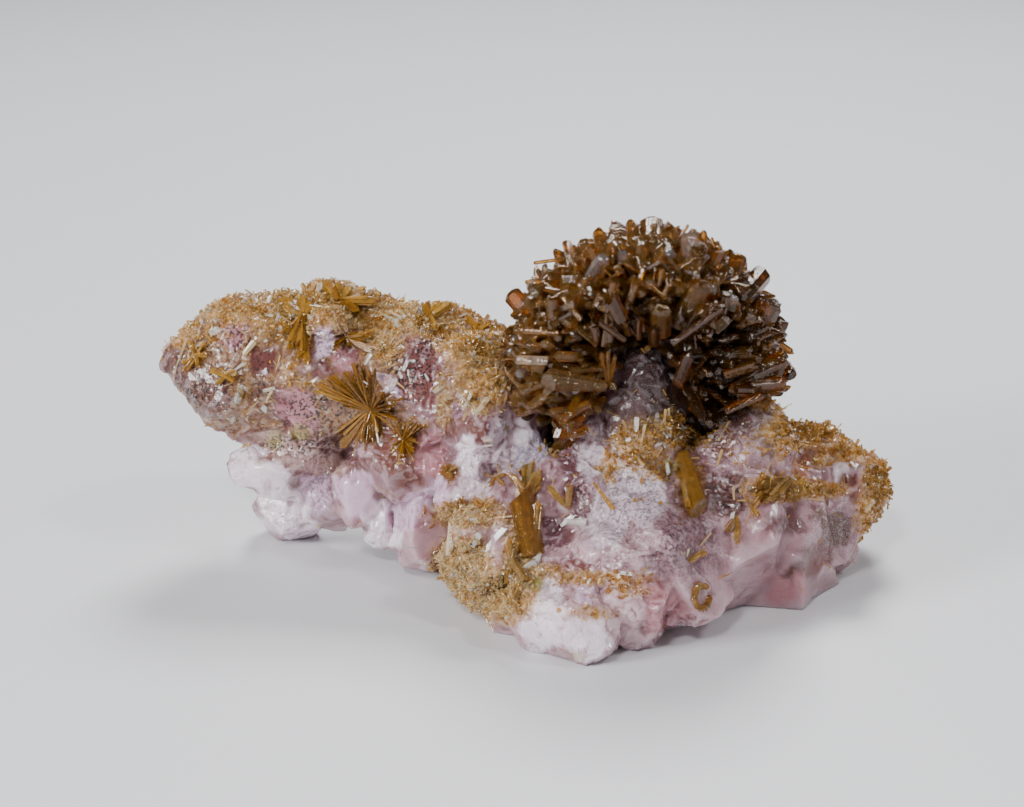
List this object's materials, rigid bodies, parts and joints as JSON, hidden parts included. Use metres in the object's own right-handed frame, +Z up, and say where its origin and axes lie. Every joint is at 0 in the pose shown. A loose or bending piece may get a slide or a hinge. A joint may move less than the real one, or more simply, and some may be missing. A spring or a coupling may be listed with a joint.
{
  "type": "eosphorite on rose quartz specimen",
  "caption": "Mineral specimen: a brown rosette of eosphorite prisms on a mass of pale rose quartz crystals, shown free-standing on a flat surface",
  "frame": {"origin": "centre of the bounding box's underside, on the surface that the specimen rests on", "axes": "+X runs to the right along the specimen's length as its show side is seen, +Y to the back, +Z up"},
  "size_m": [0.0766, 0.0412, 0.0379],
  "materials": {
    "rose_quartz": "satin",
    "eosphorite": "gloss",
    "pale_eosphorite": "gloss"
  },
  "bodies": {
    "root": {"rose_quartz": "rose_quartz", "eosphorite_rosette": "eosphorite", "left_starburst": "eosphorite", "ridge_spray": "eosphorite", "centre_prisms": "eosphorite", "groove_prisms": "eosphorite", "stout_prism": "eosphorite", "brown_prism": "eosphorite", "olive_blade": "eosphorite", "curled_crystal": "eosphorite", "gold_blade": "pale_eosphorite"}
  },
  "joints": []
}
